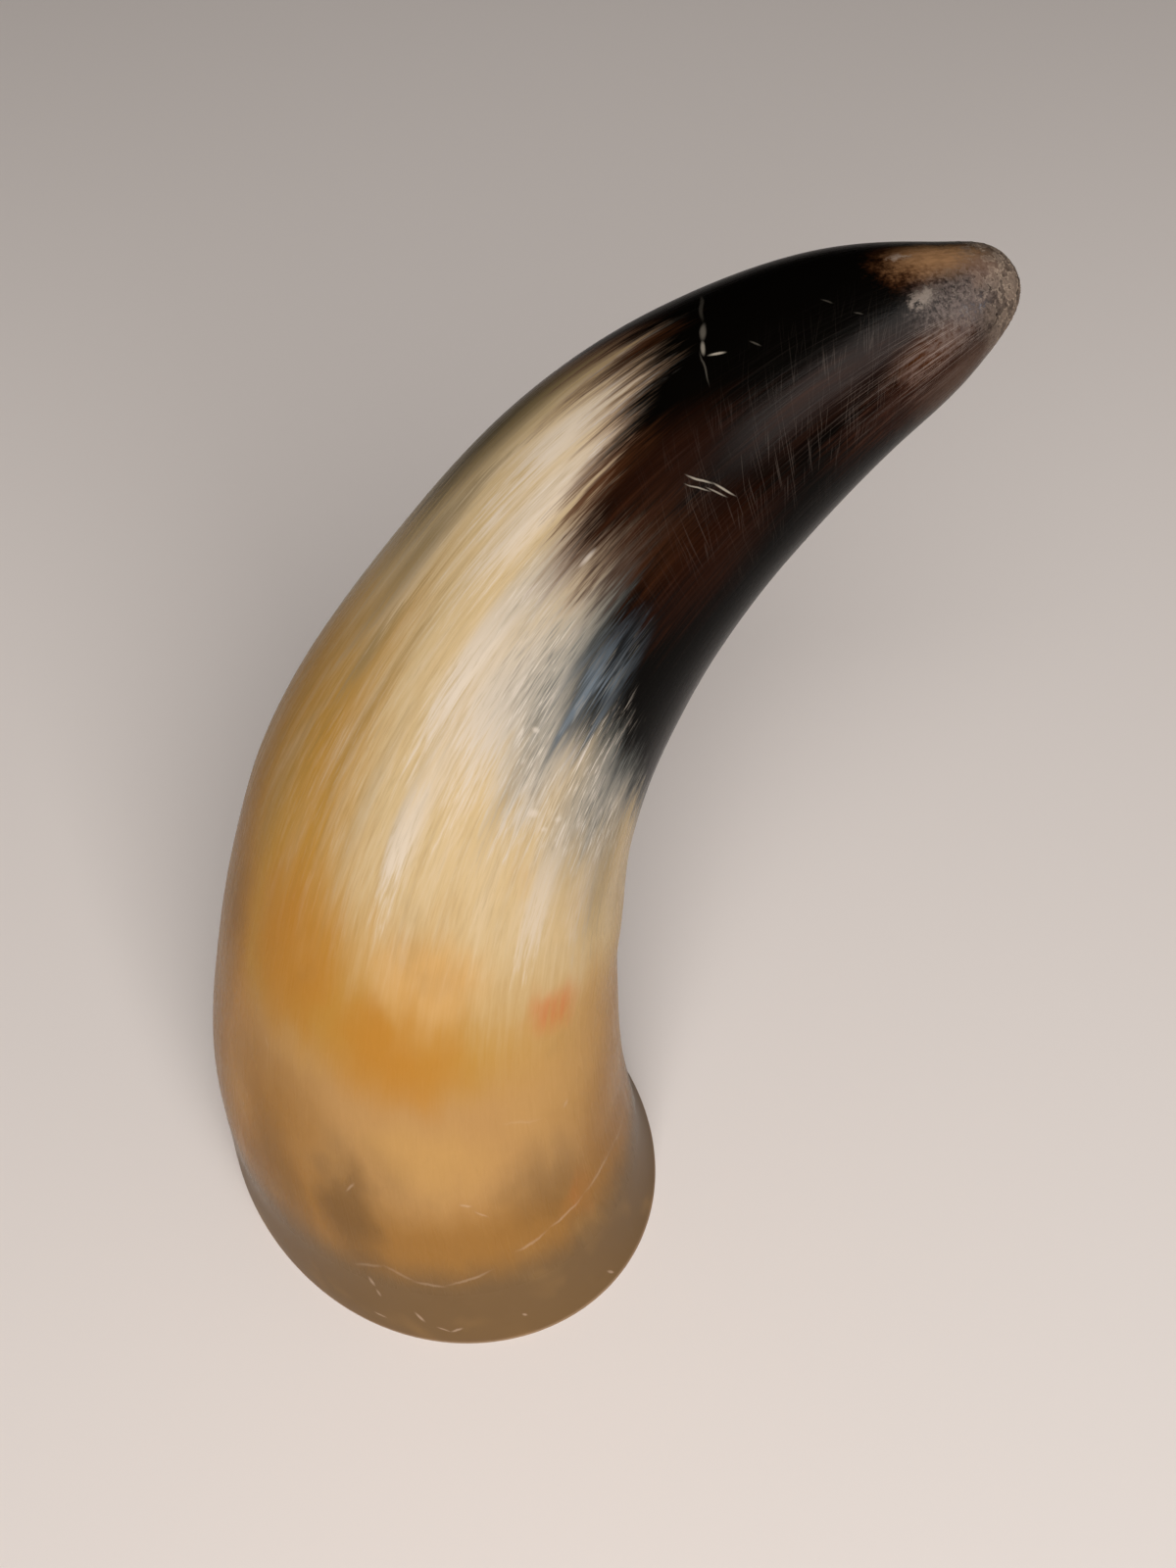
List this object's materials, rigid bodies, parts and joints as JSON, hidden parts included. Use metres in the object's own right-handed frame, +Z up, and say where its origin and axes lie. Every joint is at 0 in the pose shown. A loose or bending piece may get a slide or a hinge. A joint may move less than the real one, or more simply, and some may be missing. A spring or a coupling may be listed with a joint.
{
  "type": "polished buffalo horn",
  "caption": "Hollow, curved and tapering polished horn that stands upright on its flat-cut root, with a blunt worn tip.",
  "frame": {"origin": "middle of the horn's bounding box, on the plane of its cut root, which is the surface that it stands on", "axes": "+Z up, square to the cut root; +X the way the tip bends over; the centre line lies in a plane parallel to XZ"},
  "size_m": [0.121, 0.0824, 0.1675],
  "materials": {
    "polished_horn": "sanded and polished keratin, amber and cream streaked lengthwise, black-brown towards the tip"
  },
  "bodies": {
    "root": {"horn": "polished_horn"}
  },
  "joints": []
}
